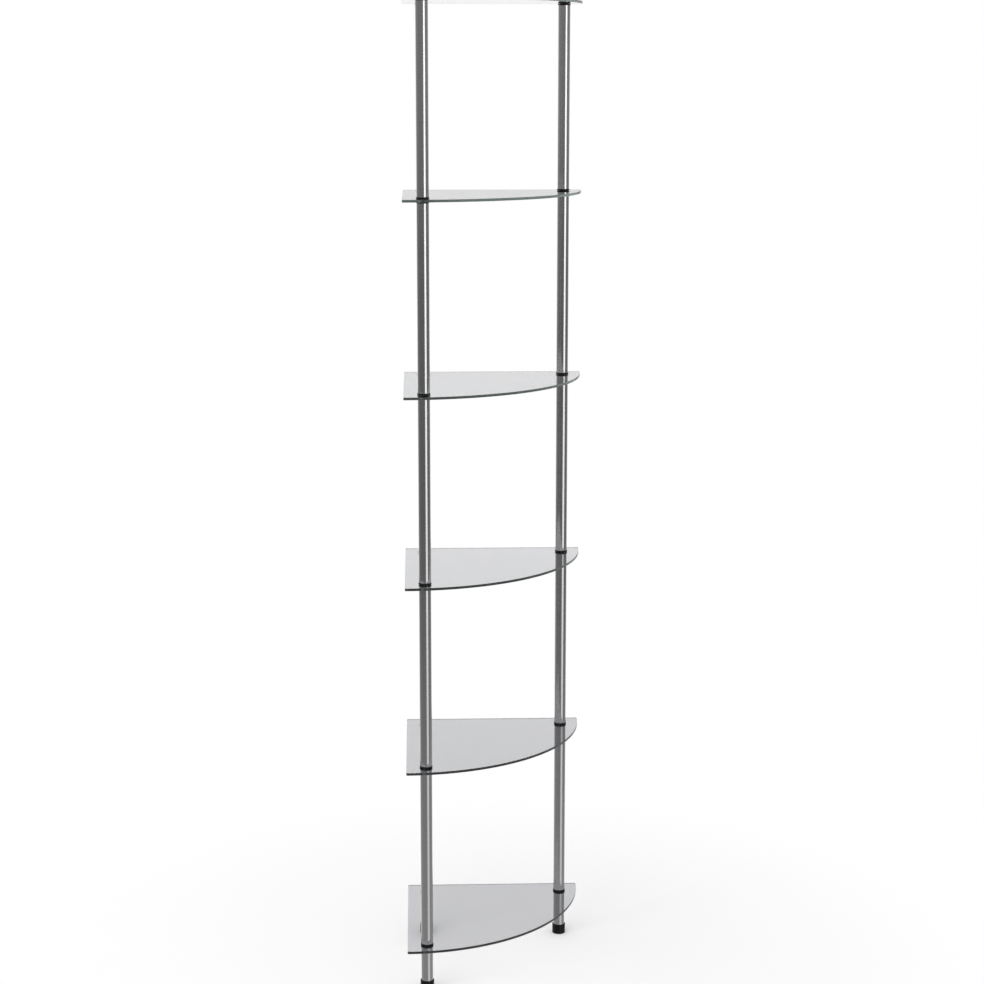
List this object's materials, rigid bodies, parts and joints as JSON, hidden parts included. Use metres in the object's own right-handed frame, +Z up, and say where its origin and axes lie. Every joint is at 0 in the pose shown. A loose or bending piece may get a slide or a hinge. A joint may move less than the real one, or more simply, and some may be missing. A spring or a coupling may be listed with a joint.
{
  "type": "glass corner shelving unit",
  "caption": "Free-standing corner tower of quarter-round clear glass shelves clamped between polished tube columns, with black collars at each shelf and black cup feet",
  "frame": {"origin": "on the floor, under the middle of the square that the shelves fit in", "axes": "+Z up; the shelves' square corner points to -X and +Y, so one straight edge faces -X, the other +Y, and the round edge faces +X and -Y"},
  "size_m": [0.36, 0.36, 1.9661],
  "materials": {
    "shelf_glass": "clear toughened float glass with polished edges",
    "tube_steel": "polished stainless steel tube",
    "black_plastic": "black moulded plastic with a slight gloss",
    "rod_zinc": "zinc plated threaded rod",
    "insert_brass": "turned brass threaded insert"
  },
  "bodies": {
    "root": {"glass_shelf_1": "shelf_glass", "glass_shelf_2": "shelf_glass", "glass_shelf_3": "shelf_glass", "glass_shelf_4": "shelf_glass", "glass_shelf_5": "shelf_glass", "glass_shelf_6": "shelf_glass", "left_foot": "black_plastic", "left_foot_insert": "insert_brass", "left_leg_tube": "tube_steel", "left_tube_1": "tube_steel", "left_tube_2": "tube_steel", "left_tube_3": "tube_steel", "left_tube_4": "tube_steel", "left_tube_5": "tube_steel", "left_collar_1": "black_plastic", "left_collar_2": "black_plastic", "left_collar_3": "black_plastic", "left_collar_4": "black_plastic", "left_collar_5": "black_plastic", "left_collar_6": "black_plastic", "left_top_cap": "tube_steel", "left_tie_rod": "rod_zinc", "right_foot": "black_plastic", "right_foot_insert": "insert_brass", "right_leg_tube": "tube_steel", "right_tube_1": "tube_steel", "right_tube_2": "tube_steel", "right_tube_3": "tube_steel", "right_tube_4": "tube_steel", "right_tube_5": "tube_steel", "right_collar_1": "black_plastic", "right_collar_2": "black_plastic", "right_collar_3": "black_plastic", "right_collar_4": "black_plastic", "right_collar_5": "black_plastic", "right_collar_6": "black_plastic", "right_top_cap": "tube_steel", "right_tie_rod": "rod_zinc", "corner_foot": "black_plastic", "corner_foot_insert": "insert_brass", "corner_leg_tube": "tube_steel", "corner_tube_1": "tube_steel", "corner_tube_2": "tube_steel", "corner_tube_3": "tube_steel", "corner_tube_4": "tube_steel", "corner_tube_5": "tube_steel", "corner_collar_1": "black_plastic", "corner_collar_2": "black_plastic", "corner_collar_3": "black_plastic", "corner_collar_4": "black_plastic", "corner_collar_5": "black_plastic", "corner_collar_6": "black_plastic", "corner_top_cap": "tube_steel", "corner_tie_rod": "rod_zinc"}
  },
  "joints": []
}
